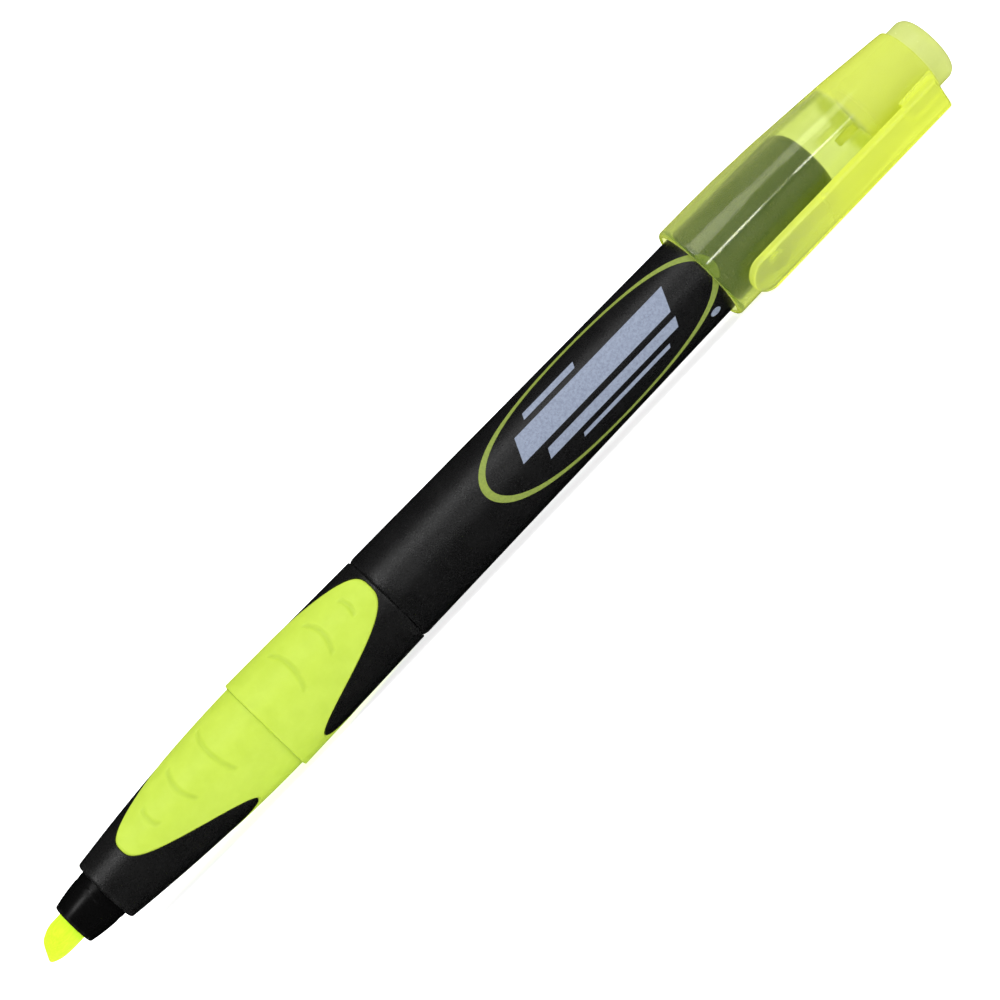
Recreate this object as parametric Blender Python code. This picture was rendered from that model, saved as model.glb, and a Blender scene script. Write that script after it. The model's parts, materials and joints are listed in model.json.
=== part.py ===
"""Chisel-tip highlighter lying on a table, with its cap posted on the rear of the barrel.

The model is in metres with +Z up. The pen lies along X with its nib towards -X, and rests on z = 0.
Lengths below are in millimetres, measured along the pen's axis from the tip of the nib.
Angles about the axis are in degrees from straight up, positive towards -Y.
"""

import math

import bmesh
import bpy
from mathutils import Matrix, Vector

MM = 0.001
SEGMENTS = 36
MERGE = 1e-7

# Nib: a fibre rod whose end is ground to a slanted chisel edge.
NIB_R = 1.98
NIB_END = 32.0
NIB_GROUND = 4.0
NIB_EDGE_HALF = 1.12
NIB_EDGE_THICK = 0.62
NIB_SLANT = 0.52

# Nose cone: the gloss tip that holds the nib.
NOSE_FRONT = 5.05
NOSE_LIP_R = 2.89
NOSE_BACK_R = 3.45
NOSE_SHOULDER = 10.1
NOSE_SPIGOT_R = 3.0
NOSE_END = 23.0
NOSE_BORE_R = 2.2

# Grip housing: the front half of the casing.
GRIP_FRONT = 10.34
GRIP_FRONT_R = 4.32
GRIP_STEP = 36.93
GRIP_STEP_R = 6.08
GRIP_CURVE = 1.8
STEP_REAR_R = 6.54
SEAM = 57.5
SEAM_R = 6.21
SEAM_GAP = 0.15
NOSE_SEAT_R = 3.2
NOSE_SEAT_END = 23.4
SPIGOT_END = 65.5
SPIGOT_R = 5.05
CORE_R = 4.35

# Rubber grip: a band with two tongues at each end, sunk in the housing.
RUBBER_T = 0.7
RUBBER_GAP = 0.15
RUBBER_EDGE_GAP = 0.3
TONGUE_FRONT = 15.3
BAND_FRONT = 30.4
BAND_REAR = 41.0
TONGUE_REAR = 57.0
TONGUE_POWER = 3.0

# Barrel: the rear half of the casing, closed at its end.
BARREL_END = 129.9
BARREL_END_R = 5.41
BARREL_CORNER = 2.2
BARREL_DOME = 0.3
BARREL_WALL = 0.9
BARREL_FLOOR = 1.6
RIB_START = 66.5
RIB_R = 4.4
RIB_EVERY = 6

# Ink reservoir and the film round it.
RESERVOIR_START = 25.5
RESERVOIR_END = 126.0
RESERVOIR_R = 3.9
SOCKET_R = 2.15
SOCKET_END = 32.3
FILM_IN_R = 4.0
FILM_OUT_R = 4.15

# Cap shell. Past CAP_EVEN_TO its centre moves towards the clip, so that the clip's side stays straighter.
CAP_MOUTH = 110.6
CAP_R = 6.79
CAP_EVEN_TO = 117.5
CAP_WAIST = 137.0
CAP_WAIST_R = 5.76
CAP_END = 146.5
CAP_END_R = 4.98
CAP_WALL = 0.6
CAP_LIP = 0.45
CAP_OFFSET_FROM = 126.0
CAP_OFFSET = 0.85
CAP_RIBS = 4
CAP_RIB_START = 132.2
CAP_RIB_HALF = 0.6
CAP_RIB_R = 4.78

# Inner cap: the liner that seals the nib. Its head stands out of the end of the shell.
LINER_RIM = 137.6
LINER_RIM_R = 4.93
LINER_HEAD_R = 4.5
LINER_END = 149.66
LINER_ROUND = 1.3
LINER_GAP = 0.16
LINER_BORE_R = 3.75
LINER_DEEP_R = 3.4
LINER_FLOOR = 148.4

# Pocket clip: distances from the pen's axis to its two faces, and half its width.
CLIP_TIP = 113.2
CLIP_END_OUTER = 145.15
CLIP_OUT = 8.86
CLIP_IN = 7.47
CLIP_HALF = 2.43
CLIP_ROUND = 0.35
CLIP_TIP_STEPS = 8
CLIP_END_SLOPE = 0.42
CLIP_BUMP_X = 117.4
CLIP_BUMP_R = 1.1
CLIP_BUMP_H = 0.45
ROOT_START = 141.1
ROOT_TOP = 7.17
ROOT_SINK = 0.25
ROOT_HALF = 1.5
HINGE_X = 145.3
HINGE_R = 7.32

# Where each feature lies round the axis. The pen rests on a flat facet of the cap's mouth and on the clip's
# rounded corner beside it.
REST_R = CAP_R * math.cos(math.pi / SEGMENTS)
CORNER_OUT = CLIP_OUT - CLIP_ROUND
CORNER_SIDE = CLIP_HALF - CLIP_ROUND
CORNER_DROP = (REST_R - CLIP_ROUND) / math.hypot(CORNER_OUT, CORNER_SIDE)
CORNER_TURN = math.degrees(math.atan2(CORNER_SIDE, CORNER_OUT))
CLIP_ANGLE = 180.0 - math.degrees(math.acos(CORNER_DROP)) - CORNER_TURN
FACE_ANGLE = CLIP_ANGLE - 43.0
TONGUE_ANGLE = FACE_ANGLE - 25.0
CHISEL_ANGLE = FACE_ANGLE + 90.0
CAP_RIB_ANGLE = FACE_ANGLE + 9.0


def around(angle):
    """Unit vector square to the pen's axis, at an angle from straight up."""
    turn = math.radians(angle)
    return Vector((0.0, -math.sin(turn), math.cos(turn)))


def point(x, radius, angle, offset=0.0):
    """A point at an angle about the axis, whose ring's centre is moved towards the clip by offset."""
    return Vector((x, 0.0, 0.0)) + around(angle) * radius + around(CLIP_ANGLE) * offset


def clip_point(x, out, side):
    """A point in the clip's own directions: out from the axis, and sideways round it."""
    return Vector((x, 0.0, 0.0)) + around(CLIP_ANGLE) * out + around(CLIP_ANGLE + 90.0) * side


def blend(a, b, share):
    """The value that lies a share of the way from a to b."""
    return a + (b - a) * share


def steps(a, b, count):
    """Evenly spaced values from a to b, both included."""
    return [blend(a, b, i / count) for i in range(count + 1)]


def corner(x, radius, size, start, end, count=3):
    """Points of a rounded corner about (x, radius), for an outline in the plane of the axis."""
    turns = [math.radians(turn) for turn in steps(start, end, count)]
    return [(x + size * math.cos(turn), radius + size * math.sin(turn)) for turn in turns]


def clear_scene():
    """Removes the objects that Blender starts with."""
    for old in list(bpy.data.objects):
        bpy.data.objects.remove(old, do_unlink=True)


def plastic(name, colour, roughness, transmission=0.0):
    """A plain Principled material for one sub-part."""
    material = bpy.data.materials.new(name)
    material.use_nodes = True
    shader = material.node_tree.nodes["Principled BSDF"]
    shader.inputs["Base Color"].default_value = (*colour, 1.0)
    shader.inputs["Roughness"].default_value = roughness
    shader.inputs["Metallic"].default_value = 0.0
    shader.inputs["Transmission Weight"].default_value = transmission
    return material


def new_object(name, bm, material=None, home=(0.0, 0.0, 0.0)):
    """Makes an object whose origin is at home, from a bmesh in millimetres in the pen's frame."""
    bmesh.ops.recalc_face_normals(bm, faces=bm.faces)
    mesh = bpy.data.meshes.new(name)
    bm.to_mesh(mesh)
    bm.free()
    mesh.transform(Matrix.Scale(MM, 4) @ Matrix.Translation(-Vector(home)))
    mesh.shade_smooth()
    mesh.set_sharp_from_angle(angle=math.radians(35.0))
    if material:
        mesh.materials.append(material)
    piece = bpy.data.objects.new(name, mesh)
    piece.location = Vector(home) * MM
    bpy.context.scene.collection.objects.link(piece)
    return piece


def turned(outline, offset=lambda x: 0.0, loop=True):
    """A body made by turning an outline about the axis.

    outline gives the (x, radius) points for an angle. With loop, its last point joins its first.
    Without it, both end on the axis. Columns start half a segment from the top, so a facet faces down.
    """
    bm = bmesh.new()
    columns = []
    for k in range(SEGMENTS):
        angle = 360.0 * (k + 0.5) / SEGMENTS
        columns.append([bm.verts.new(point(x, r, angle, offset(x))) for x, r in outline(angle)])
    count = len(columns[0])
    for k, here in enumerate(columns):
        there = columns[(k + 1) % SEGMENTS]
        for i in range(count if loop else count - 1):
            j = (i + 1) % count
            bm.faces.new((here[i], here[j], there[j], there[i]))
    bmesh.ops.remove_doubles(bm, verts=bm.verts, dist=MERGE)
    return bm


def prism(lower, upper):
    """A closed body between two outlines that have the same number of points."""
    bm = bmesh.new()
    low = [bm.verts.new(place) for place in lower]
    high = [bm.verts.new(place) for place in upper]
    bm.faces.new(low)
    bm.faces.new(high)
    for i in range(len(low)):
        j = (i + 1) % len(low)
        bm.faces.new((low[i], low[j], high[j], high[i]))
    return bm


def guide(name, bm):
    """A shape that a Boolean adds to a sub-part. It isn't part of the model itself."""
    shape = new_object(name, bm)
    shape.hide_render = True
    shape.display_type = "WIRE"
    return shape


def join(piece, shape):
    """Adds a guide's shape to a piece."""
    union = piece.modifiers.new("join " + shape.name, "BOOLEAN")
    union.operation = "UNION"
    union.solver = "EXACT"
    union.object = shape


def front_radius(x):
    """Outer radius of the grip in front of its step."""
    share = (GRIP_STEP - x) / (GRIP_STEP - GRIP_FRONT)
    return GRIP_STEP_R - (GRIP_STEP_R - GRIP_FRONT_R) * share**GRIP_CURVE


def rear_radius(x):
    """Outer radius of the grip behind its step."""
    return blend(STEP_REAR_R, SEAM_R, (x - GRIP_STEP) / (SEAM - GRIP_STEP))


def barrel_radius(x):
    """Outer radius of the barrel."""
    return blend(SEAM_R, BARREL_END_R, (x - SEAM) / (BARREL_END - SEAM))


def rubber_ends(angle):
    """Where the rubber starts and stops along the axis, at an angle."""
    spread = abs(math.sin(math.radians(angle - TONGUE_ANGLE))) ** TONGUE_POWER
    return blend(TONGUE_FRONT, BAND_FRONT, spread), blend(TONGUE_REAR, BAND_REAR, spread)


def cap_radius(x):
    """Outer radius of the cap shell."""
    if x < CAP_EVEN_TO:
        return CAP_R
    if x < CAP_WAIST:
        return blend(CAP_R, CAP_WAIST_R, (x - CAP_EVEN_TO) / (CAP_WAIST - CAP_EVEN_TO))
    return blend(CAP_WAIST_R, CAP_END_R, (x - CAP_WAIST) / (CAP_END - CAP_WAIST))


def cap_offset(x):
    """How far the cap's centre lies towards the clip."""
    share = (x - CAP_OFFSET_FROM) / (CAP_END - CAP_OFFSET_FROM)
    return CAP_OFFSET * min(1.0, max(0.0, share))


def liner_radius(x):
    """Outer radius of the inner cap."""
    return blend(LINER_RIM_R, LINER_HEAD_R, min(1.0, (x - LINER_RIM) / (CAP_END - LINER_RIM)))


def make_nib():
    """Fibre rod, narrowed towards a slanted edge at its writing end."""
    bm = bmesh.new()
    depths = [0.0, 0.12, 0.35, 0.8, 1.5, 2.6, NIB_GROUND]
    rings = []
    for depth in depths:
        left = 1.0 - depth / NIB_GROUND
        wide = NIB_R - (NIB_R - NIB_EDGE_HALF) * left**3
        thick = NIB_R - (NIB_R - NIB_EDGE_THICK) * left**2
        if depth == 0.0:
            wide -= 0.12
            thick -= 0.12
        rings.append(nib_ring(bm, depth, wide, thick, NIB_SLANT * left))
    rings.append(nib_ring(bm, NIB_END, NIB_R, NIB_R, 0.0))
    for lower, upper in zip(rings, rings[1:]):
        for i in range(len(lower)):
            j = (i + 1) % len(lower)
            bm.faces.new((lower[i], lower[j], upper[j], upper[i]))
    bm.faces.new(rings[0])
    bm.faces.new(rings[-1])
    return new_object("chisel_nib", bm, plastic("nib_fibre", (0.75, 1.0, 0.03), 0.8))


def nib_ring(bm, depth, wide, thick, slant):
    """One oval ring of the nib. Slant moves its low side forward."""
    middle = NIB_SLANT * NIB_EDGE_HALF
    along = around(CHISEL_ANGLE)
    across = around(CHISEL_ANGLE - 90.0)
    ring = []
    for k in range(SEGMENTS * 2 // 3):
        turn = math.tau * k / (SEGMENTS * 2 // 3)
        low = wide * math.cos(turn)
        x = depth + slant / NIB_SLANT * middle - slant * low
        ring.append(bm.verts.new(Vector((x, 0.0, 0.0)) + along * low + across * thick * math.sin(turn)))
    return ring


def make_nose_cone():
    """Tip holder: a curved cone in front, and a spigot that sits in the housing."""

    def outline(angle):
        lip = 0.3
        front = corner(NOSE_FRONT + lip, NOSE_LIP_R - lip, lip, 180.0, 90.0)
        rise = NOSE_SHOULDER - NOSE_FRONT - lip
        flare = [
            (x, NOSE_BACK_R - (NOSE_BACK_R - NOSE_LIP_R) * ((NOSE_SHOULDER - x) / rise) ** 2)
            for x in steps(NOSE_FRONT + lip, NOSE_SHOULDER, 4)[1:]
        ]
        spigot = [(NOSE_SHOULDER, NOSE_SPIGOT_R), (NOSE_END, NOSE_SPIGOT_R)]
        bore = [(NOSE_END, NOSE_BORE_R), (NOSE_FRONT, NOSE_BORE_R)]
        return front + flare + spigot + bore

    return new_object("nose_cone", turned(outline), plastic("nose_black", (0.006, 0.006, 0.007), 0.12))


def make_grip_housing():
    """Front casing with a recess for the rubber, and a spigot for the barrel."""

    def outline(angle):
        start, stop = rubber_ends(angle)
        start -= RUBBER_EDGE_GAP
        stop += RUBBER_EDGE_GAP
        sink = RUBBER_T + RUBBER_GAP
        lip = 0.3
        front = corner(GRIP_FRONT + lip, front_radius(GRIP_FRONT) - lip, lip, 180.0, 90.0)
        nose_side = [(x, front_radius(x)) for x in steps(GRIP_FRONT + lip, start, 3)[1:]]
        recess = [(x, front_radius(x) - sink) for x in steps(start, GRIP_STEP, 3)]
        recess += [(x, rear_radius(x) - sink) for x in (GRIP_STEP + RUBBER_GAP, stop)]
        rear = [(stop, rear_radius(stop)), (SEAM - SEAM_GAP, SEAM_R), (SEAM - SEAM_GAP, SPIGOT_R)]
        spigot = [(SPIGOT_END, SPIGOT_R), (SPIGOT_END, CORE_R)]
        bore = [(NOSE_SEAT_END, CORE_R), (NOSE_SEAT_END, NOSE_SEAT_R), (GRIP_FRONT, NOSE_SEAT_R)]
        return front + nose_side + recess + rear + spigot + bore

    return new_object("grip_housing", turned(outline), plastic("grip_black", (0.012, 0.012, 0.013), 0.42))


def make_rubber_grip():
    """Soft sleeve: outer skin and inner skin between edges that follow the tongues."""

    def outline(angle):
        start, stop = rubber_ends(angle)
        front = [(x, front_radius(x)) for x in steps(start, GRIP_STEP, 5)]
        rear = [(x, rear_radius(x)) for x in steps(GRIP_STEP, stop, 3)]
        skin = front + rear
        return skin + [(x, r - RUBBER_T) for x, r in reversed(skin)]

    return new_object("rubber_grip", turned(outline), plastic("grip_rubber", (0.62, 0.9, 0.07), 0.5))


def make_barrel_tube():
    """Rear casing: a tapered tube with ribs inside that hold the reservoir."""

    def outline(angle):
        ribbed = int(angle / 360.0 * SEGMENTS) % RIB_EVERY == 0
        front = SEAM + SEAM_GAP
        turn_x = BARREL_END - BARREL_DOME - BARREL_CORNER
        turn_r = barrel_radius(turn_x) - BARREL_CORNER
        skin = [(x, barrel_radius(x)) for x in steps(front, turn_x, 3)[:-1]]
        skin += corner(turn_x, turn_r, BARREL_CORNER, 90.0, 0.0, 4)
        floor_x = BARREL_END - BARREL_FLOOR
        floor_r = barrel_radius(floor_x) - BARREL_WALL
        hold_r = RIB_R if ribbed else floor_r
        hold_front_r = RIB_R if ribbed else barrel_radius(RIB_START) - BARREL_WALL
        bore = [(floor_x, 0.0), (floor_x, hold_r), (RIB_START, hold_front_r)]
        bore += [(RIB_START, barrel_radius(RIB_START) - BARREL_WALL - 0.02)]
        bore += [(front, SEAM_R - BARREL_WALL)]
        return [(BARREL_END, 0.0)] + list(reversed(skin)) + list(reversed(bore))

    return new_object(
        "barrel_tube", turned(outline, loop=False), plastic("barrel_black", (0.012, 0.012, 0.014), 0.45)
    )


def make_reservoir():
    """Fibre rod with a socket for the rear of the nib."""

    def outline(angle):
        outside = [(RESERVOIR_START, RESERVOIR_R), (RESERVOIR_END, RESERVOIR_R), (RESERVOIR_END, 0.0)]
        return [(SOCKET_END, 0.0), (SOCKET_END, SOCKET_R), (RESERVOIR_START, SOCKET_R)] + outside

    fibre = plastic("ink_fibre", (0.7, 0.9, 0.1), 0.9)
    return new_object("ink_reservoir", turned(outline, loop=False), fibre)


def make_reservoir_film():
    """Thin sleeve round the reservoir."""

    def outline(angle):
        inside = [(RESERVOIR_START, FILM_IN_R), (RESERVOIR_END, FILM_IN_R)]
        return inside + [(RESERVOIR_END, FILM_OUT_R), (RESERVOIR_START, FILM_OUT_R)]

    return new_object("reservoir_film", turned(outline), plastic("film_clear", (0.85, 0.9, 0.8), 0.2, 0.8))


def make_cap_shell(material):
    """Cap shell, with ribs inside near the inner cap and a block outside that carries the clip."""

    def outline(angle):
        lip_x = CAP_MOUTH + CAP_LIP
        skin = corner(lip_x, CAP_R - CAP_LIP, CAP_LIP, 180.0, 90.0)
        stations = [CAP_EVEN_TO, CAP_OFFSET_FROM, CAP_WAIST, CAP_END - CAP_LIP]
        skin += [(x, cap_radius(x)) for x in stations]
        skin += [(CAP_END, cap_radius(CAP_END) - 0.12)]
        hole = [(x, liner_radius(x) + LINER_GAP) for x in (CAP_END, LINER_RIM)]
        stations = [CAP_WAIST - 0.4, CAP_OFFSET_FROM, CAP_EVEN_TO, CAP_MOUTH + 0.7]
        inside = [(x, cap_radius(x) - CAP_WALL) for x in stations]
        return skin + hole + inside

    shell = new_object("cap_shell", turned(outline, cap_offset), material, (CAP_MOUTH, 0.0, 0.0))
    join(shell, guide("cap_rib_shapes", cap_ribs()))
    join(shell, guide("clip_root_shape", clip_root()))
    return shell


def cap_ribs():
    """Short ribs inside the cap, as separate bars that reach into its wall."""
    bm = bmesh.new()
    stop = CAP_WAIST + 0.1
    for k in range(CAP_RIBS):
        angle = CAP_RIB_ANGLE + 360.0 * k / CAP_RIBS
        sideways = around(angle + 90.0) * CAP_RIB_HALF
        ends = []
        for x in (CAP_RIB_START, stop):
            inner = point(x, CAP_RIB_R, angle, cap_offset(x))
            outer = point(x, cap_radius(x) - CAP_WALL / 2, angle, cap_offset(x))
            ends.append([inner - sideways, inner + sideways, outer + sideways, outer - sideways])
        bar = prism(*ends)
        bmesh.ops.recalc_face_normals(bar, faces=bar.faces)
        spare = bpy.data.meshes.new("bar")
        bar.to_mesh(spare)
        bar.free()
        bm.from_mesh(spare)
        bpy.data.meshes.remove(spare)
    return bm


def clip_end(out):
    """Where the clip's slanted end lies along the axis, at a distance out from it."""
    return CLIP_END_OUTER + (CLIP_OUT - out) * CLIP_END_SLOPE


def clip_root():
    """Block between the shell and the clip. Its underside follows the shell's curve, a little below it."""
    sides = steps(ROOT_HALF, -ROOT_HALF, 4)

    def section(x_low, x_high):
        radius = cap_radius(x_low)
        offset = cap_offset(x_low)
        under = [offset + math.sqrt(radius**2 - side**2) - ROOT_SINK for side in sides]
        top = [clip_point(x_high, ROOT_TOP, side) for side in (-ROOT_HALF, ROOT_HALF)]
        return top + [clip_point(x_low, out, side) for out, side in zip(under, sides)]

    return prism(section(ROOT_START, ROOT_START), section(CAP_END - 0.2, clip_end(ROOT_TOP)))


def make_pocket_clip(material):
    """Clip arm with a round tip, a slanted end and a bump that grips a pocket. It turns at its root."""
    tip = [
        (CLIP_TIP + CLIP_HALF * (1.0 - math.sin(turn)), -CLIP_HALF * math.cos(turn))
        for turn in steps(0.0, math.pi, CLIP_TIP_STEPS)
    ]

    def face(out):
        end = clip_end(out)
        return [clip_point(end, out, -CLIP_HALF)] + [clip_point(x, out, side) for x, side in tip] + [
            clip_point(end, out, CLIP_HALF)
        ]

    bm = prism(face(CLIP_IN), face(CLIP_OUT))
    lowest = [edge for edge in bm.edges if all(on_face(vert, CLIP_OUT) for vert in edge.verts)]
    bmesh.ops.bevel(
        bm, geom=lowest, offset=CLIP_ROUND, segments=2, profile=0.5, affect="EDGES", clamp_overlap=True
    )
    home = clip_point(HINGE_X, HINGE_R, 0.0)
    clip = new_object("pocket_clip", bm, material, home)
    join(clip, guide("clip_bump_shape", clip_bump()))
    return clip


def on_face(vert, out):
    """Whether a vertex lies on a face of the clip."""
    return abs(vert.co.dot(around(CLIP_ANGLE)) - out) < 1e-4


def clip_bump():
    """Low round bump under the tip of the clip."""
    rows = []
    for share in (0.0, 0.45, 0.8, 1.0):
        rows.append((CLIP_BUMP_R * math.sqrt(1.0 - share**2), CLIP_IN - CLIP_BUMP_H * share))
    rows[0] = (CLIP_BUMP_R, CLIP_IN + 0.3)
    bm = bmesh.new()
    columns = []
    for k in range(12):
        turn = math.tau * k / 12
        across, side = math.cos(turn), math.sin(turn)
        places = [clip_point(CLIP_BUMP_X + r * across, out, r * side) for r, out in rows]
        columns.append([bm.verts.new(place) for place in places])
    for k, here in enumerate(columns):
        there = columns[(k + 1) % 12]
        for i in range(len(rows) - 1):
            bm.faces.new((here[i], here[i + 1], there[i + 1], there[i]))
    bm.faces.new([column[0] for column in columns])
    bmesh.ops.remove_doubles(bm, verts=bm.verts, dist=MERGE)
    return bm


def make_inner_cap():
    """Liner cup. Its mouth faces the barrel and its closed head is the end of the cap."""

    def outline(angle):
        head_x = LINER_END - LINER_ROUND
        outside = [(x, liner_radius(x)) for x in (LINER_RIM, CAP_END)]
        outside += corner(head_x, LINER_HEAD_R - LINER_ROUND, LINER_ROUND, 90.0, 0.0)
        inside = [(LINER_FLOOR, 0.0), (LINER_FLOOR, LINER_DEEP_R), (LINER_RIM, LINER_BORE_R)]
        return inside + outside + [(LINER_END, 0.0)]

    material = plastic("liner_yellow", (0.75, 0.85, 0.3), 0.35, 0.3)
    return new_object("inner_cap", turned(outline, cap_offset, loop=False), material, (CAP_MOUTH, 0.0, 0.0))


def lay_down(pieces):
    """Parents the pen to an empty and moves it so that its box stands on z = 0, centred on the origin."""
    axis = bpy.data.objects.new("pen_axis", None)
    bpy.context.scene.collection.objects.link(axis)
    for piece in pieces:
        piece.parent = axis
    for shape in [item for item in bpy.data.objects if item.display_type == "WIRE"]:
        shape.parent = axis
    bpy.context.view_layer.update()
    graph = bpy.context.evaluated_depsgraph_get()
    places = []
    for piece in pieces:
        seen = piece.evaluated_get(graph)
        places += [seen.matrix_world @ vert.co for vert in seen.to_mesh().vertices]
        seen.to_mesh_clear()
    low = Vector(min(place[i] for place in places) for i in range(3))
    high = Vector(max(place[i] for place in places) for i in range(3))
    axis.location = (-(low.x + high.x) / 2, -(low.y + high.y) / 2, -low.z)


def main():
    clear_scene()
    cap_plastic = plastic("cap_yellow", (0.78, 0.9, 0.08), 0.12, 0.7)
    pieces = [
        make_nib(),
        make_nose_cone(),
        make_grip_housing(),
        make_rubber_grip(),
        make_barrel_tube(),
        make_reservoir(),
        make_reservoir_film(),
        make_cap_shell(cap_plastic),
        make_pocket_clip(cap_plastic),
        make_inner_cap(),
    ]
    lay_down(pieces)


main()
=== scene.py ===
"""Looks of the highlighter: fine surfaces, print, materials, floor, lights and camera.

Lengths are in millimetres, and places along the pen are counted from the tip of its nib. They become
metres when points are placed. The floor and the lamps are in metres throughout.
Angles about the axis are in degrees from straight up, positive towards -Y, where the camera is.
"""

import json
import math

import bmesh
import bpy
import numpy as np
from mathutils import Matrix, Vector


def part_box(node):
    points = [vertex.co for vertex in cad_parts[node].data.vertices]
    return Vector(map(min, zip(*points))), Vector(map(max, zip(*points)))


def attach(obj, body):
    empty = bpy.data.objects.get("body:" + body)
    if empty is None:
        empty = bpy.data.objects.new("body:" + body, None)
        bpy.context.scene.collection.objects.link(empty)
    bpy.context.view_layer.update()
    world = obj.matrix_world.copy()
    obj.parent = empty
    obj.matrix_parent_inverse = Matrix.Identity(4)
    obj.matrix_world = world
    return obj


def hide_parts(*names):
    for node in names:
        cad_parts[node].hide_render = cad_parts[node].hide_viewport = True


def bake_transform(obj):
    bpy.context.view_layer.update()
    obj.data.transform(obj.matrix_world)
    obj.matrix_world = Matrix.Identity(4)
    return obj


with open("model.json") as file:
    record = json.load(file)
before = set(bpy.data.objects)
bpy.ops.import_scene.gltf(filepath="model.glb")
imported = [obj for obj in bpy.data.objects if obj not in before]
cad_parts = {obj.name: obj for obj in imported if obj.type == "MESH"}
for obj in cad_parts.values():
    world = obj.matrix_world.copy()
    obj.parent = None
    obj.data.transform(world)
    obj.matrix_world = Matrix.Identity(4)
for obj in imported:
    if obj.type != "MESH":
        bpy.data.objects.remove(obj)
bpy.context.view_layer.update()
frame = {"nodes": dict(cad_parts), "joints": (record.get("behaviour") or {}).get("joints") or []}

MM = 0.001

# The pen's axis, and where its parts start and stop along it, all from the frame.
nib_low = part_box("chisel_nib")[0]
barrel_low, barrel_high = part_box("barrel_tube")
AXIS = np.array([nib_low.x, (barrel_low.y + barrel_high.y) / 2, (barrel_low.z + barrel_high.z) / 2])


def span(node):
    """First and last place of a CAD node along the pen."""
    low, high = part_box(node)
    return (low.x - AXIS[0]) / MM, (high.x - AXIS[0]) / MM


def height_radius(node):
    """Half a CAD node's height: its largest radius."""
    low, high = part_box(node)
    return (high.z - low.z) / 2 / MM


NIB_TIP = span("chisel_nib")[0]
NOSE_FRONT, NOSE_END = span("nose_cone")
GRIP_FRONT, GRIP_END = span("grip_housing")
TONGUE_FRONT, TONGUE_REAR = span("rubber_grip")
SEAM, BARREL_END = span("barrel_tube")
CAP_MOUTH, CAP_END = span("cap_shell")
CLIP_TIP, CLIP_END = span("pocket_clip")
LINER_RIM, LINER_END = span("inner_cap")
NIB_R = height_radius("chisel_nib")
NOSE_BACK_R = height_radius("nose_cone")
STEP_R = height_radius("rubber_grip")
SEAM_R = height_radius("barrel_tube")
CAP_R = (AXIS[2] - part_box("cap_shell")[0].z) / MM

# Which way the clip points, from its hinge's axis. The printed face and the tongues lie at set angles
# from it, and the nib is widest at right angles to the way that the printed face points.
flex = [joint for joint in frame["joints"] if joint["name"] == "clip_flex"][0]
CLIP_ANGLE = math.degrees(math.atan2(flex["axis"][2], flex["axis"][1]))
FACE_ANGLE = CLIP_ANGLE - 43.0
TONGUE_ANGLE = FACE_ANGLE - 25.0
CHISEL_ANGLE = FACE_ANGLE + 90.0

# Shape of the grip.
STEP = 36.93
STEP_FRONT_R = 6.08
FRONT_R = 4.32
GRIP_CURVE = 1.8
BAND_FRONT = 30.4
BAND_REAR = 41.0
TONGUE_POWER = 3.0
RUBBER_T = 0.7
RUBBER_PROUD = 0.05

# Shape of the barrel and of the cap.
BARREL_END_R = 5.41
BARREL_CORNER = 2.2
BARREL_DOME = 0.3
WALL = 0.9
CAP_EVEN_TO = 117.5
CAP_WAIST = 137.0
CAP_WAIST_R = 5.76
CAP_END_R = 4.98
CAP_WALL = 0.6
CAP_OFFSET_FROM = 126.0
CAP_OFFSET = 0.85
RIB_ANGLE = FACE_ANGLE + 9.0
RIB_COUNT = 4
LINER_RIM_R = 4.93
LINER_HEAD_R = 4.5
LINER_GAP = 0.12

# Shape of the clip: distances out from the axis, and half its width.
CLIP_OUT = 8.86
CLIP_IN = 7.47
CLIP_HALF = 2.43
CLIP_ROUND = 0.38
CLIP_SLOPE = 0.42
CLIP_BUMP = (117.5, 1.3, 0.3)
ROOT_FRONT = 140.7
ROOT_HALF = 1.5
BLEND_FROM = 6.86
BLEND_TO = 7.14

# Columns of points round a turned body, unless it asks for fewer.
FINE = 288


# ---------------------------------------------------------------- geometry


def around(angle):
    """Unit vectors square to the axis, for angles from straight up."""
    turn = np.radians(angle)
    return np.stack([np.zeros_like(turn), -np.sin(turn), np.cos(turn)], axis=-1)


def place(x, radius, angle, offset=0.0):
    """Points in the row frame, from places along the pen, radii and angles.

    Offset moves them towards the clip.
    """
    given = [np.asarray(value, float) for value in (x, radius, angle, offset)]
    x, radius, angle, offset = np.broadcast_arrays(*given)
    out = around(angle) * radius[..., None] + around(CLIP_ANGLE) * offset[..., None]
    out[..., 0] += x
    return AXIS + out * MM


def clip_place(x, out, side):
    """Points in the clip's own directions: out from the axis, and sideways round it."""
    x, out, side = np.broadcast_arrays(*[np.asarray(v, float) for v in (x, out, side)])
    where = around(CLIP_ANGLE) * out[..., None] + around(CLIP_ANGLE + 90.0) * side[..., None]
    where[..., 0] += x
    return AXIS + where * MM


def mix(a, b, share):
    """The value that lies a share of the way from a to b."""
    return a + (b - a) * share


def smooth(low, high, value):
    """0 up to low, 1 from high, and an even curve between."""
    t = np.clip((value - low) / (high - low), 0.0, 1.0)
    return t * t * (3.0 - 2.0 * t)


def rounded(distance, size):
    """How far a surface drops near an edge that is rounded, at a distance in from it."""
    near = np.clip(size - distance, 0.0, size)
    return size - np.sqrt(np.clip(size**2 - near**2, 0.0, None))


def arc(x, radius, size, start, end, count):
    """(x, radius) points of a rounded corner about a centre."""
    turns = np.radians(np.linspace(start, end, count))
    return [(x + size * math.cos(t), radius + size * math.sin(t)) for t in turns]


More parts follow.
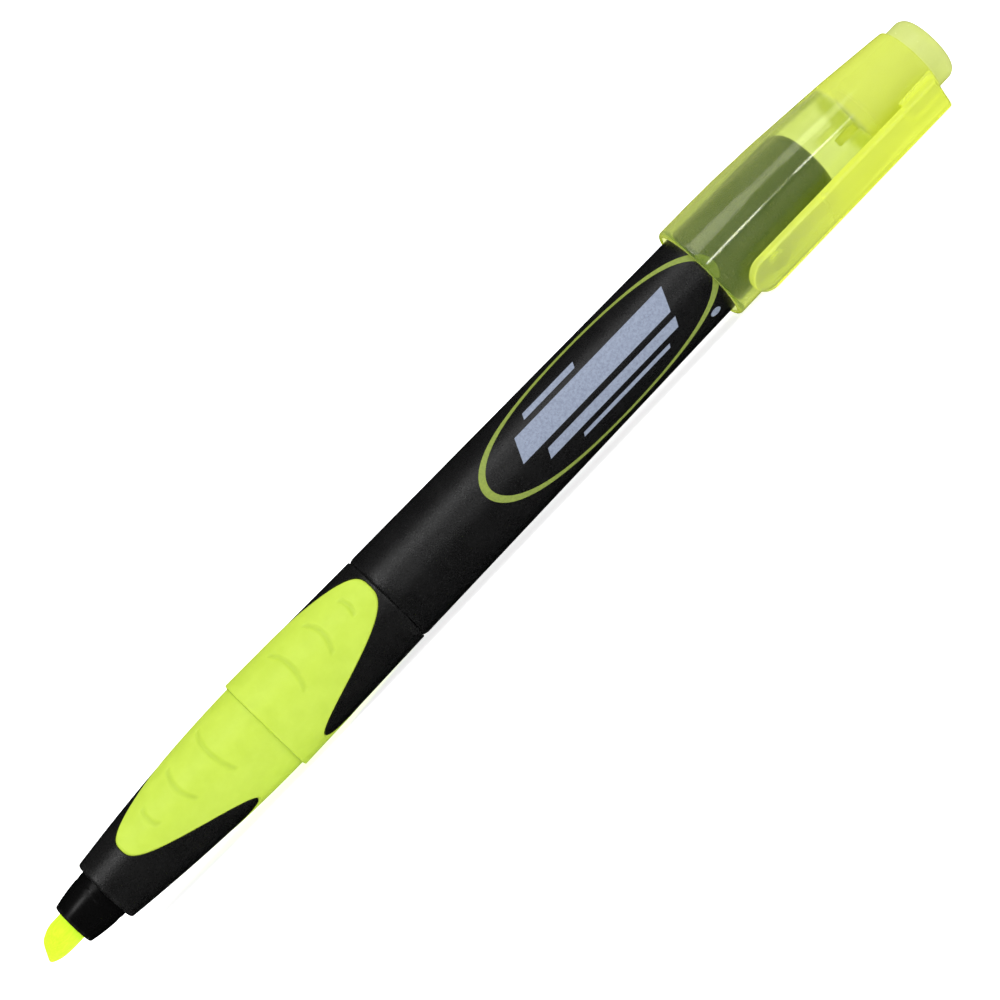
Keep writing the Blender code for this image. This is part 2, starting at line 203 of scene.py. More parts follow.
def resampled(points, gap):
    """The same outline with extra points, so that none lie further apart than gap."""
    rows = [points[0]]
    for (x0, r0), (x1, r1) in zip(points, points[1:]):
        count = max(1, math.ceil(math.hypot(x1 - x0, r1 - r0) / gap))
        rows += [(mix(x0, x1, i / count), mix(r0, r1, i / count)) for i in range(1, count + 1)]
    return rows


def mesh_object(name, points, faces):
    """A smooth-shaded mesh object, with doubled points merged and its faces pointing out."""
    bm = bmesh.new()
    verts = [bm.verts.new(p) for p in points]
    for face in faces:
        bm.faces.new([verts[i] for i in face])
    bmesh.ops.remove_doubles(bm, verts=bm.verts, dist=1e-8)
    bmesh.ops.dissolve_degenerate(bm, edges=bm.edges, dist=1e-8)
    bmesh.ops.recalc_face_normals(bm, faces=bm.faces)
    mesh = bpy.data.meshes.new(name)
    bm.to_mesh(mesh)
    bm.free()
    mesh.shade_smooth()
    mesh.set_sharp_from_angle(angle=math.radians(40.0))
    piece = bpy.data.objects.new(name, mesh)
    bpy.context.scene.collection.objects.link(piece)
    return piece


def grid_faces(cols, rows, wrap_cols, wrap_rows):
    """Quads between neighbours of a grid of points, numbered column by column."""
    faces = []
    for k in range(cols if wrap_cols else cols - 1):
        for i in range(rows if wrap_rows else rows - 1):
            k2, i2 = (k + 1) % cols, (i + 1) % rows
            faces.append((k * rows + i, k * rows + i2, k2 * rows + i2, k2 * rows + i))
    return faces


def turned(name, outline, loop=True, offset=None, cols=FINE):
    """A body turned about the axis. outline is a list of (x, radius), or gives one for each angle.

    With loop its last point joins its first; without it both ends lie on the axis.
    """
    angles = np.arange(cols) * 360.0 / cols
    rows = [np.array(outline(a) if callable(outline) else outline) for a in angles]
    table = np.stack(rows)
    x, r = table[..., 0], table[..., 1]
    shift = offset(x) if offset else 0.0
    points = place(x, r, angles[:, None], shift)
    return mesh_object(name, points.reshape(-1, 3), grid_faces(cols, table.shape[1], True, loop))


def attribute(piece, name, value):
    """Stores a number for each vertex, worked out from its place along the pen, radius and angle."""
    co = np.zeros(len(piece.data.vertices) * 3)
    piece.data.vertices.foreach_get("co", co)
    co = (co.reshape(-1, 3) - AXIS) / MM
    x, radius = co[:, 0], np.hypot(co[:, 1], co[:, 2])
    angle = np.degrees(np.arctan2(-co[:, 1], co[:, 2]))
    layer = piece.data.attributes.new(name, "FLOAT", "POINT")
    layer.data.foreach_set("value", np.asarray(value(x, radius, angle), np.float32))


def turn_from(angle, centre):
    """The signed angle from centre, between -180 and 180 degrees."""
    return (angle - centre + 180.0) % 360.0 - 180.0


def front_radius(x):
    """Outer radius of the grip in front of its step."""
    share = np.clip((STEP - x) / (STEP - GRIP_FRONT), 0.0, 1.0)
    return STEP_FRONT_R - (STEP_FRONT_R - FRONT_R) * share**GRIP_CURVE


def rear_radius(x):
    """Outer radius of the grip behind its step."""
    return mix(STEP_R, SEAM_R, (x - STEP) / (SEAM - STEP))


def barrel_radius(x):
    """Outer radius of the barrel."""
    return mix(SEAM_R, BARREL_END_R, (x - SEAM) / (BARREL_END - SEAM))


def cap_radius(x):
    """Outer radius of the cap shell, with its two changes of taper eased."""
    draft, before, after = 0.02, 2.0, 2.5
    slope = (CAP_R - CAP_WAIST_R) / (CAP_WAIST - CAP_EVEN_TO)
    tail = (CAP_WAIST_R - CAP_END_R) / (CAP_END - CAP_WAIST)
    knots = [
        (CAP_MOUTH, CAP_R),
        (CAP_EVEN_TO - before, CAP_R - draft),
        (CAP_EVEN_TO + after, CAP_R - slope * after),
        (CAP_WAIST - 1.0, CAP_WAIST_R + slope),
        (CAP_WAIST + 1.0, CAP_WAIST_R - tail),
        (CAP_END, CAP_END_R),
    ]
    places, radii = zip(*knots)
    return np.interp(x, places, radii)


def cap_offset(x):
    """How far the cap's centre lies towards the clip."""
    return CAP_OFFSET * np.clip((x - CAP_OFFSET_FROM) / (CAP_END - CAP_OFFSET_FROM), 0.0, 1.0)


def liner_radius(x):
    """Outer radius of the inner cap."""
    return mix(LINER_RIM_R, LINER_HEAD_R, np.clip((x - LINER_RIM) / (CAP_END - LINER_RIM), 0.0, 1.0))


def rubber_ends(angle):
    """Where the rubber starts and stops along the pen, at an angle."""
    spread = np.abs(np.sin(np.radians(angle - TONGUE_ANGLE))) ** TONGUE_POWER
    return mix(TONGUE_FRONT, BAND_FRONT, spread), mix(TONGUE_REAR, BAND_REAR, spread)


# ---------------------------------------------------------------- materials


class Recipe:
    """A material with a Principled shader, and short ways to add nodes to it."""

    def __init__(self, name):
        """Starts from a new material, its shader and the object's own coordinates."""
        self.material = bpy.data.materials.new(name)
        self.material.use_nodes = True
        self.tree = self.material.node_tree
        self.shader = self.tree.nodes["Principled BSDF"]
        self.output = self.tree.nodes["Material Output"]
        coordinates = self.tree.nodes.new("ShaderNodeTexCoord")
        self.place = coordinates.outputs["Object"]

    def set(self, **values):
        """Sets the shader's own values. An underscore in a name stands for a space."""
        for name, value in values.items():
            if isinstance(value, tuple) and len(value) == 3 and name.endswith("Color"):
                value = (*value, 1.0)
            self.shader.inputs[name.replace("_", " ")].default_value = value

    def link(self, source, name):
        """Drives one of the shader's inputs."""
        self.tree.links.new(source, self.shader.inputs[name])

    def scaled(self, stretch):
        """Object coordinates in millimetres, multiplied by stretch."""
        node = self.tree.nodes.new("ShaderNodeVectorMath")
        node.operation = "MULTIPLY"
        self.tree.links.new(self.place, node.inputs[0])
        node.inputs[1].default_value = [s / MM for s in stretch]
        return node.outputs[0]

    def noise(self, scale, detail, rough=0.5, stretch=(1.0, 1.0, 1.0), distortion=0.0):
        """A noise whose scale is in waves for each millimetre."""
        node = self.tree.nodes.new("ShaderNodeTexNoise")
        self.tree.links.new(self.scaled(stretch), node.inputs["Vector"])
        node.inputs["Scale"].default_value = scale
        node.inputs["Detail"].default_value = detail
        node.inputs["Roughness"].default_value = rough
        node.inputs["Distortion"].default_value = distortion
        return node.outputs["Fac"]

    def cells(self, scale):
        """Distance to the nearest of many scattered points."""
        node = self.tree.nodes.new("ShaderNodeTexVoronoi")
        self.tree.links.new(self.scaled((1.0, 1.0, 1.0)), node.inputs["Vector"])
        node.inputs["Scale"].default_value = scale
        return node.outputs["Distance"]

    def layer(self, name):
        """A number stored in the mesh."""
        node = self.tree.nodes.new("ShaderNodeAttribute")
        node.attribute_name = name
        return node.outputs["Fac"]

    def grazing(self, low, high, most):
        """Rises from 0 to most where the surface turns away from the viewer."""
        node = self.tree.nodes.new("ShaderNodeLayerWeight")
        node.inputs["Blend"].default_value = 0.5
        return self.range(node.outputs["Facing"], low, high, 0.0, most)

    def math(self, kind, a, b):
        """One sum on two values, each a number or another node's output."""
        node = self.tree.nodes.new("ShaderNodeMath")
        node.operation = kind
        for socket, value in zip(node.inputs, (a, b)):
            if isinstance(value, (int, float)):
                socket.default_value = value
            else:
                self.tree.links.new(value, socket)
        return node.outputs[0]

    def range(self, value, low, high, to_low=0.0, to_high=1.0):
        """Maps one range of values onto another, clamped."""
        node = self.tree.nodes.new("ShaderNodeMapRange")
        self.tree.links.new(value, node.inputs["Value"])
        limits = {"From Min": low, "From Max": high, "To Min": to_low, "To Max": to_high}
        for name, number in limits.items():
            node.inputs[name].default_value = number
        return node.outputs["Result"]

    def mix(self, share, first, second):
        """Mixes two colours, each three numbers or another node's output."""
        node = self.tree.nodes.new("ShaderNodeMix")
        node.data_type = "RGBA"
        self.tree.links.new(share, node.inputs["Factor"])
        for socket, colour in ((node.inputs[6], first), (node.inputs[7], second)):
            if isinstance(colour, tuple):
                socket.default_value = (*colour, 1.0)
            else:
                self.tree.links.new(colour, socket)
        return node.outputs[2]

    def bump(self, height, depth, strength, over=None):
        """Turns a height into a surface normal. Depth is in millimetres."""
        node = self.tree.nodes.new("ShaderNodeBump")
        node.inputs["Strength"].default_value = strength
        node.inputs["Distance"].default_value = depth * MM
        self.tree.links.new(height, node.inputs["Height"])
        if over:
            self.tree.links.new(over, node.inputs["Normal"])
        return node.outputs[0]


def satin_black(name, colour, roughness):
    """Black moulded plastic with a fine grain, lighter specks that are partly dust and partly painted
    sparkle, and edges polished by handling and painted lighter, partly as wear and partly as a painted
    highlight.
    """
    m = Recipe(name)
    grain = m.noise(6.5, 3.0, 0.6)
    patches = m.noise(0.35, 3.0, 0.6)
    specks = m.range(m.noise(5.5, 2.0), 0.6, 0.72)
    edge_mask = m.math("MULTIPLY", m.layer("edge"), m.range(m.noise(2.2, 4.0, 0.7), 0.4, 0.62))
    lighter = tuple(c * 2.6 + 0.004 for c in colour)
    base = m.mix(m.range(patches, 0.35, 0.7), colour, tuple(c * 1.35 for c in colour))
    # Lighter specks: partly dust in the grain, partly painted sparkle.
    base = m.mix(m.math("MULTIPLY", specks, 0.75), base, lighter)
    # Lighter edges: partly wear from handling, partly a painted highlight on the rounded edges at the
    # seam and the shoulder.
    base = m.mix(m.math("MULTIPLY", edge_mask, 0.5), base, lighter)
    m.link(base, "Base Color")
    rough = m.range(grain, 0.3, 0.7, roughness - 0.07, roughness + 0.07)
    rough = m.math("ADD", rough, m.math("MULTIPLY", edge_mask, -0.14))
    m.link(m.math("ADD", rough, m.range(patches, 0.3, 0.7, -0.03, 0.03)), "Roughness")
    orange_peel = m.bump(m.noise(1.9, 3.0, 0.7), 0.03, 0.5)
    m.link(m.bump(grain, 0.05, 0.8, orange_peel), "Normal")
    m.set(Specular_IOR_Level=0.45)
    return m.material


def gloss_black(name):
    """Polished black plastic with faint turning lines, smears and a few scratches."""
    m = Recipe(name)
    smear = m.noise(0.9, 4.0, 0.6, (0.4, 1.0, 1.0))
    scratches = m.range(m.noise(3.0, 5.0, 0.75, (6.0, 0.5, 0.5)), 0.6, 0.68)
    edge_mask = m.math("MULTIPLY", m.layer("edge"), m.range(m.noise(3.0, 3.0), 0.42, 0.6))
    base = m.mix(m.math("MULTIPLY", edge_mask, 0.5), (0.002, 0.002, 0.002), (0.02, 0.02, 0.02))
    m.link(base, "Base Color")
    rough = m.math("ADD", m.range(smear, 0.35, 0.7, 0.2, 0.3), m.math("MULTIPLY", scratches, 0.12))
    m.link(rough, "Roughness")
    m.link(m.bump(m.noise(0.8, 2.0), 0.02, 0.25, m.bump(scratches, 0.003, 0.3)), "Normal")
    m.set(Specular_IOR_Level=0.16)
    return m.material


def soft_rubber(name):
    """Fluorescent soft rubber: fine matt skin, faint mottling, painted shade in its grooves, along its
    edges and in front of its step, and a faint painted glow.
    """
    m = Recipe(name)
    mottle = m.noise(0.5, 4.0, 0.6)
    skin = m.noise(8.0, 3.0, 0.65)
    base = m.mix(m.range(mottle, 0.35, 0.68), (0.352, 0.466, 0.035), (0.38, 0.497, 0.044))
    specks = m.range(m.noise(4.5, 2.0, 0.7), 0.66, 0.76)
    base = m.mix(m.math("MULTIPLY", specks, 0.3), base, (0.33, 0.46, 0.03))
    # Painted shade: darker in the finger grooves, along the rubber's edges and just in front of its
    # step.
    base = m.mix(m.math("MULTIPLY", m.layer("groove"), 0.6), base, (0.30, 0.41, 0.028))
    base = m.mix(m.math("MULTIPLY", m.layer("edge"), 0.35), base, (0.30, 0.41, 0.028))
    m.link(base, "Base Color")
    m.link(m.range(skin, 0.3, 0.7, 0.44, 0.6), "Roughness")
    m.link(m.bump(skin, 0.03, 0.4, m.bump(mottle, 0.05, 0.3)), "Normal")
    m.set(Subsurface_Weight=0.25, Subsurface_Radius=(0.9, 1.0, 0.25), Subsurface_Scale=0.0006)
    # The emission is a faint painted glow.
    m.set(Specular_IOR_Level=0.4, Emission_Color=(0.5, 0.8, 0.02), Emission_Strength=0.04)
    return m.material


def inked_fibre(name, bright, deep):
    """Bonded fibres soaked in ink: streaks along the rod, a loose surface and darker gaps."""
    m = Recipe(name)
    streaks = m.noise(7.0, 4.0, 0.7, (0.12, 1.0, 1.0), 0.2)
    soak = m.noise(0.8, 3.0)
    base = m.mix(m.range(streaks, 0.34, 0.62), deep, bright)
    base = m.mix(m.range(soak, 0.4, 0.75, 0.0, 0.35), base, deep)
    m.link(base, "Base Color")
    m.link(m.range(streaks, 0.3, 0.7, 0.9, 0.65), "Roughness")
    m.link(m.bump(streaks, 0.06, 0.55, m.bump(m.cells(9.0), 0.02, 0.3)), "Normal")
    m.set(Subsurface_Weight=0.3, Subsurface_Radius=(0.8, 1.0, 0.15), Subsurface_Scale=0.0005)
    # The emission is a painted glow.
    m.set(Specular_IOR_Level=0.25, Emission_Color=bright, Emission_Strength=0.12)
    return m.material


def tinted_plastic(name, colours, clear, density, roughness, glows):
    """Fluorescent translucent plastic: clear where its wall is thin, and milky where it is thick.

    Colours, clear and glows each have a value for thin walls and one for thick ones. Clear is how much
    light gets through, and density sets the volume's tint. The glows are painted light: an emission,
    strongest where the plastic is milky, that evens out its shading.
    """
    m = Recipe(name)
    thin, milk = colours
    thick = m.math("MAXIMUM", m.layer("thick"), m.grazing(0.32, 0.85, 0.6))
    flow = m.noise(0.7, 3.0, 0.55, (0.25, 1.0, 1.0), distortion=0.4)
    fine = m.noise(5.0, 3.0, 0.6)
    scuffs = m.range(m.noise(1.6, 6.0, 0.75, (0.5, 1.6, 1.6)), 0.62, 0.74)
    deeper = tuple(c * 0.93 for c in milk)
    m.link(m.mix(thick, thin, m.mix(m.range(flow, 0.35, 0.7), milk, deeper)), "Base Color")
    cloud = m.range(flow, 0.3, 0.75, 0.01, -0.01)
    through = m.math("ADD", m.range(thick, 0.0, 1.0, clear[0], clear[1]), cloud)
    m.link(m.math("SUBTRACT", through, m.math("MULTIPLY", scuffs, 0.02)), "Transmission Weight")
    rough = m.range(fine, 0.3, 0.7, roughness - 0.02, roughness + 0.02)
    m.link(m.math("ADD", rough, m.math("MULTIPLY", scuffs, 0.1)), "Roughness")
    m.link(m.bump(fine, 0.002, 0.3, m.bump(flow, 0.03, 0.2)), "Normal")
    m.set(IOR=1.49, Specular_IOR_Level=0.13, Emission_Strength=0.2)
    # Painted glow, strongest where the plastic is milky.
    m.link(m.mix(thick, *glows), "Emission Color")
    absorb = m.tree.nodes.new("ShaderNodeVolumeAbsorption")
    absorb.inputs["Color"].default_value = (0.97, 0.98, 0.0, 1.0)
    absorb.inputs["Density"].default_value = density
    m.tree.links.new(absorb.outputs[0], m.output.inputs["Volume"])
    return m.material


def printed_ink(name, colour, faded):
    """Pad-printed ink: slightly uneven cover, matt, with fine pinholes."""
    m = Recipe(name)
    cover = m.noise(3.2, 4.0, 0.7)
    pinholes = m.range(m.noise(8.0, 2.0, 0.6), 0.66, 0.72)
    base = m.mix(m.range(cover, 0.38, 0.66), colour, faded)
    m.link(m.mix(m.math("MULTIPLY", pinholes, 0.6), base, (0.03, 0.035, 0.02)), "Base Color")
    m.link(m.range(cover, 0.3, 0.7, 0.42, 0.6), "Roughness")
    m.link(m.bump(cover, 0.01, 0.4), "Normal")
    m.set(Specular_IOR_Level=0.4)
    return m.material


def thin_film(name):
    """Clear wrapping film with lengthwise stretch marks and small wrinkles."""
    m = Recipe(name)
    marks = m.noise(2.0, 4.0, 0.6, (0.1, 1.0, 1.0))
    m.link(m.mix(m.range(marks, 0.4, 0.7), (0.86, 0.92, 0.8), (0.78, 0.86, 0.6)), "Base Color")
    m.link(m.range(marks, 0.3, 0.7, 0.12, 0.3), "Roughness")
    m.link(m.bump(marks, 0.03, 0.5), "Normal")
    m.set(Transmission_Weight=0.75, IOR=1.49)
    return m.material


def pale_floor(name):
    """Plain pale studio sheet that glows a little."""
    m = Recipe(name)
    m.link(m.mix(m.noise(0.02, 2.0), (0.93, 0.93, 0.93), (0.95, 0.95, 0.95)), "Base Color")
    m.set(Roughness=0.9, Specular_IOR_Level=0.1, Emission_Color=(1.0, 1.0, 1.0), Emission_Strength=0.5)
    return m.material


def finish_piece(piece, material, body, slot, *nodes):
    """Gives a piece its material and its body, and hides the CAD nodes that it stands for. The slot is
    not used.
    """
    piece.data.materials.clear()
    piece.data.materials.append(material)
    if body:
        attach(piece, body)
    if nodes:
        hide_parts(*nodes)
    return piece


# ---------------------------------------------------------------- pieces of the pen


def make_nib():
    """Chisel nib: rings of ovals that narrow towards a slanted, slightly rounded edge."""
    ground, edge_half, edge_thick, slant, tip_round = 4.0, 1.12, 0.62, 0.52, 0.3
    cols = 120
    shaft = [5.5, 8.0, NOSE_END]
    depth = np.concatenate([ground * np.linspace(0.0, 1.0, 40) ** 2, shaft])
    left = np.clip(1.0 - depth / ground, 0.0, 1.0)
    wide = NIB_R - (NIB_R - edge_half) * left**3
    thick = NIB_R - (NIB_R - edge_thick) * left**2
    round_off = rounded(depth, tip_round)
    wide, thick = wide - round_off, thick - round_off
    turn = np.arange(cols) * math.tau / cols
    low = np.cos(turn)[:, None] * wide
    across = np.sin(turn)[:, None] * thick
    x = depth + left * slant * edge_half - left * slant * low
    rows = x[..., None] * np.array([1.0, 0.0, 0.0])
    rows = rows + around(CHISEL_ANGLE) * low[..., None] + around(CHISEL_ANGLE - 90.0) * across[..., None]
    points = (AXIS + rows * MM).reshape(-1, 3)
    count = len(depth)
    faces = grid_faces(cols, count, True, False)
    faces.append([k * count for k in range(cols)])
    faces.append([k * count + count - 1 for k in range(cols)])
    piece = mesh_object("nib_felt", points, faces)
    material = inked_fibre("nib_fibre", (0.52, 0.76, 0.02), (0.38, 0.62, 0.01))
    return finish_piece(piece, material, "pen", "nib_fibre", "chisel_nib")


def make_nose():
    """Gloss tip holder: a rounded lip, a faint ring groove at its back, and a bore round the nib."""
    lip_r, lip, spigot_r = 2.89, 0.32, 3.0
    ring_from_back, ring_half, ring_depth = 1.1, 0.35, 0.05
    sink_deep, sink_wide = 0.25, 0.22
    back = GRIP_FRONT - 0.02
    bore = NIB_R + 0.06
    front = arc(NOSE_FRONT + lip, lip_r - lip, lip, 180.0, 90.0, 8)
    rise = back - NOSE_FRONT - lip
    places = np.linspace(NOSE_FRONT + lip, back, 60)[1:]
    flare = [(x, NOSE_BACK_R - (NOSE_BACK_R - lip_r) * ((back - x) / rise) ** 2) for x in places]
    from_ring = [(x - back + ring_from_back) / ring_half for x, r in flare]
    flare = [(x, r - ring_depth * max(0.0, 1.0 - away**2)) for (x, r), away in zip(flare, from_ring)]
    inside = [(back, spigot_r), (NOSE_END, spigot_r), (NOSE_END, bore), (NOSE_FRONT + sink_deep, bore)]
    mouth = [(NOSE_FRONT, bore + sink_wide)]
    piece = turned("nose_cone_shell", front + flare + inside + mouth, cols=192)

    def lip_edge(x, radius, angle):
        """1 at the front of the lip, and 0 past it and inside the bore."""
        return np.clip(1.0 - np.abs(x - NOSE_FRONT - 0.1) / 0.35, 0, 1) * (radius > 2.6)

    attribute(piece, "edge", lip_edge)
    return finish_piece(piece, gloss_black("nose_black"), "pen", "nose_black", "nose_cone")


def make_grip_casing():
    """Front casing, with a rounded shoulder and a recess whose edge follows the rubber."""
    gap, sink, edge_drop = 0.05, RUBBER_T + 0.1, 0.06
    lip, end_round = 0.42, 0.14
    spigot_r, bore_r, nose_bore_r, bore_step = 5.1, 4.4, 3.1, 23.4
    end = SEAM - 0.19

    def outline(angle):
        """Section at an angle, from the shoulder back along the skin and forward through the bore."""
        start, stop = rubber_ends(angle)
        start, stop = start - gap, stop + gap
        shoulder = arc(GRIP_FRONT + lip, front_radius(GRIP_FRONT + lip) - lip, lip, 180.0, 90.0, 8)
        front = [(x, front_radius(x)) for x in np.linspace(GRIP_FRONT + lip, start - edge_drop, 20)[1:]]
        edge = [(start, front_radius(start) - edge_drop)]
        floor = [(x, front_radius(x) - sink) for x in np.linspace(start, STEP, 4)]
        floor += [(x, rear_radius(x) - sink) for x in (STEP + 0.1, stop)]
        rear_edge = [(stop, rear_radius(stop) - edge_drop)]
        rear = [(x, rear_radius(x)) for x in np.linspace(stop + edge_drop, end - 0.2, 10)[:-1]]
        rear += arc(end - end_round, rear_radius(end) - end_round, end_round, 90.0, 0.0, 6)
        spigot = [(end, spigot_r), (GRIP_END, spigot_r)]
        bore = [(GRIP_END, bore_r), (bore_step, bore_r)]
        bore += [(bore_step, nose_bore_r), (GRIP_FRONT, nose_bore_r)]
        return shoulder + front + edge + floor + rear_edge + rear + spigot + bore

    def both_edges(x, radius, angle):
        """1 at the front shoulder and at the seam, falling to 0 within about a millimetre."""
        front = np.clip(1.0 - np.abs(x - GRIP_FRONT - 0.2) / 0.9, 0, 1)
        return front + np.clip(1.0 - np.abs(x - end) / 0.6, 0, 1)

    piece = turned("grip_casing", outline)
    attribute(piece, "edge", both_edges)
    material = satin_black("grip_black", (0.0045, 0.0045, 0.0045), 0.3)
    return finish_piece(piece, material, "pen", "grip_black", "grip_housing")


GROOVES = [
    # place of the middle, how far the ends lie behind it along the pen, and half its spread in degrees
    (19.95, 0.5, 17.0),
    (24.75, 0.85, 28.5),
    (30.25, 0.85, 36.5),
    (43.95, -0.9, 31.5),
    (49.25, -0.95, 25.0),
    (53.6, -0.4, 13.5),
]
GROOVE_WIDTH = 0.42
GROOVE_DEPTH = 0.16
GROOVE_TAPER = 3.5


def groove_depth(x, angle):
    """How deep the finger grooves are at a place on the rubber, from 0 to 1.

    Both sides of the grip have the same six.
    """
    found = np.zeros(np.broadcast(x, angle).shape)
    for centre in (TONGUE_ANGLE, TONGUE_ANGLE + 180.0):
        swing = turn_from(angle, centre)
        for middle, ends, half in GROOVES:
            share = swing / half
            line = middle + ends * share**2
            across = np.abs(x - line) / GROOVE_WIDTH
            along = np.clip((1.0 - np.abs(share)) * half / GROOVE_TAPER, 0.0, 1.0)
            depth = np.clip(1.0 - across**2, 0.0, 1.0) * np.sqrt(along)
            found = np.maximum(found, depth * (np.abs(share) < 1.0))
    return found


def rubber_skin(angles, rows):
    """Outer surface of the rubber: places along the pen and radii, for each angle."""
    bunching, mean_r = 0.018, 5.5
    edge_drop, step_drop, round_width = 0.16, 0.1, 0.3
    start, stop = rubber_ends(angles)
    share = np.linspace(0.0, 1.0, rows)
    share = share - bunching * np.sin(share * math.tau)
    front = mix(start[:, None], STEP - 0.03, share)
    rear = mix(STEP + 0.1, stop[:, None], share)
    skin_x = np.concatenate([front, rear], axis=1)
    skin_r = np.concatenate([front_radius(front), rear_radius(rear)], axis=1) + RUBBER_PROUD
    from_edge = np.minimum(skin_x - start[:, None], stop[:, None] - skin_x)
    steep = np.hypot(1.0, np.gradient(start, np.radians(angles[1])) / mean_r)[:, None]
    from_edge = np.clip(from_edge / steep, 0.0, None)
    skin_r -= edge_drop * np.clip(1.0 - from_edge / round_width, 0.0, 1.0) ** 2
    behind = skin_x - STEP
    skin_r -= np.where(behind > 0, step_drop * np.clip(1.0 - behind / round_width, 0.0, 1.0) ** 2, 0.0)
    skin_r -= GROOVE_DEPTH * groove_depth(skin_x, angles[:, None])
    return skin_x, skin_r


def make_rubber():
    """Soft sleeve with tongues, a step, finger grooves and soft edges."""
    cols, rows = 360, 110
    angles = np.arange(cols) * 360.0 / cols
    skin_x, skin_r = rubber_skin(angles, rows)
    under_x = skin_x[:, ::-4]
    under_r = np.where(under_x < STEP, front_radius(under_x), rear_radius(under_x)) - RUBBER_T
    x = np.concatenate([skin_x, under_x], axis=1)
    r = np.concatenate([skin_r, under_r], axis=1)
    points = place(x, r, angles[:, None]).reshape(-1, 3)
    piece = mesh_object("rubber_sleeve", points, grid_faces(cols, x.shape[1], True, True))
    # groove and edge mark where shade is painted on the rubber.
    attribute(piece, "groove", lambda x, r, a: groove_depth(x, a))
    attribute(piece, "edge", rubber_edge)
    return finish_piece(piece, soft_rubber("grip_rubber"), "pen", "grip_rubber", "rubber_grip")


def rubber_edge(x, radius, angle):
    """1 at the rubber's edges and just in front of its step, falling to 0 within half a millimetre."""
    start, stop = rubber_ends(angle)
    edge = np.clip(1.0 - np.minimum(x - start, stop - x) / 0.45, 0.0, 1.0)
    step = np.clip(1.0 - np.abs(x - STEP + 0.12) / 0.3, 0.0, 1.0)
    return np.maximum(edge, step)


def make_barrel():
    """Rear casing: a tapered tube with a rounded, slightly domed end, and ribs inside."""
    bevel, end_wall = 0.1, 1.6
    rib_count, rib_r, ribs_from, spigot_bore = 6, 4.4, 66.5, 5.2
    front = SEAM - 0.11
    turn_x = BARREL_END - BARREL_DOME - BARREL_CORNER
    turn_r = barrel_radius(turn_x) - BARREL_CORNER
    edge = arc(front + bevel, barrel_radius(front) - 0.24, bevel, 180.0, 106.0, 4)
    edge += [(front + 0.3, barrel_radius(front) - 0.08), (front + 0.6, barrel_radius(front) - 0.01)]
    skin = edge[:-1] + resampled([edge[-1], (turn_x, barrel_radius(turn_x))], 1.2)
    corner = arc(turn_x, turn_r, BARREL_CORNER, 90.0, 0.0, 14)
    dome = [(BARREL_END - BARREL_DOME * (r / turn_r) ** 2, r) for r in np.linspace(turn_r, 0.0, 8)[1:]]
    floor = BARREL_END - end_wall
    pitch = FINE // rib_count

    def outline(angle):
        """Section at an angle: the skin from the dome to the seam, then the bore, narrower at a rib."""
        ribbed = round(angle / 360.0 * FINE) % pitch in (0, 1, pitch - 1)
        hold = rib_r if ribbed else barrel_radius(floor) - WALL
        hold_front = rib_r if ribbed else barrel_radius(ribs_from) - WALL
        bore = [(floor, 0.0), (floor, hold), (ribs_from, hold_front)]
        bore += [(ribs_from - 0.1, spigot_bore), (front, SEAM_R - WALL)]
        return dome[::-1] + corner[::-1] + skin[::-1] + bore[::-1]

    def both_edges(x, radius, angle):
        """1 at the seam, and rising again towards the rounded end."""
        return np.clip(1.0 - np.abs(x - front) / 0.6, 0, 1) + 0.6 * smooth(turn_x, BARREL_END, x)

    piece = turned("barrel_casing", outline, loop=False)
    attribute(piece, "edge", both_edges)
    material = satin_black("barrel_black", (0.0042, 0.0042, 0.0043), 0.3)
    return finish_piece(piece, material, "pen", "barrel_black", "barrel_tube")


# ---------------------------------------------------------------- print on the barrel

PRINT_MIDDLE = 92.9
PRINT_HALF_LENGTH = 18.7
PRINT_HALF_GIRTH = 6.3
STROKES = [
    # place of the middle round the barrel, height, and the two ends along the pen
    (-3.45, 0.8, 83.5, 92.0),
    (-0.85, 2.9, 80.2, 105.0),
    (1.95, 1.2, 82.5, 104.0),
    (3.5, 0.5, 87.0, 101.5),
]
STROKE_LEAN = -0.5
RING_WIDTH = 0.5
DOT_PLACE = (108.3, 5.05)
DOT_SIZE = (0.75, 0.5)
INK_OUT = 0.025
INK_IN = 0.03


def ink_film(name, x, girth, material, closed):
    """A thin ink film on the barrel. x and girth are grids of places along it and round it."""
    radius = barrel_radius(x)
    angle = FACE_ANGLE + np.degrees(girth / radius)
    cols, rows = x.shape
    top = place(x, radius + INK_OUT, angle).reshape(-1, 3)
    under = place(x, radius - INK_IN, angle).reshape(-1, 3)
    count = cols * rows
    faces = grid_faces(cols, rows, closed, False)
    both = faces + [tuple(i + count for i in face[::-1]) for face in faces]
    rim = []
    for k in range(cols if closed else cols - 1):
        k2 = (k + 1) % cols
        for i in (0, rows - 1):
            a, b = k * rows + i, k2 * rows + i
            rim.append((a, b, b + count, a + count))
    if not closed:
        for k in (0, cols - 1):
            for i in range(rows - 1):
                a, b = k * rows + i, k * rows + i + 1
                rim.append((a, b, b + count, a + count))
    piece = mesh_object(name, np.concatenate([top, under]), both + rim)
    return finish_piece(piece, material, "pen", "barrel_black")


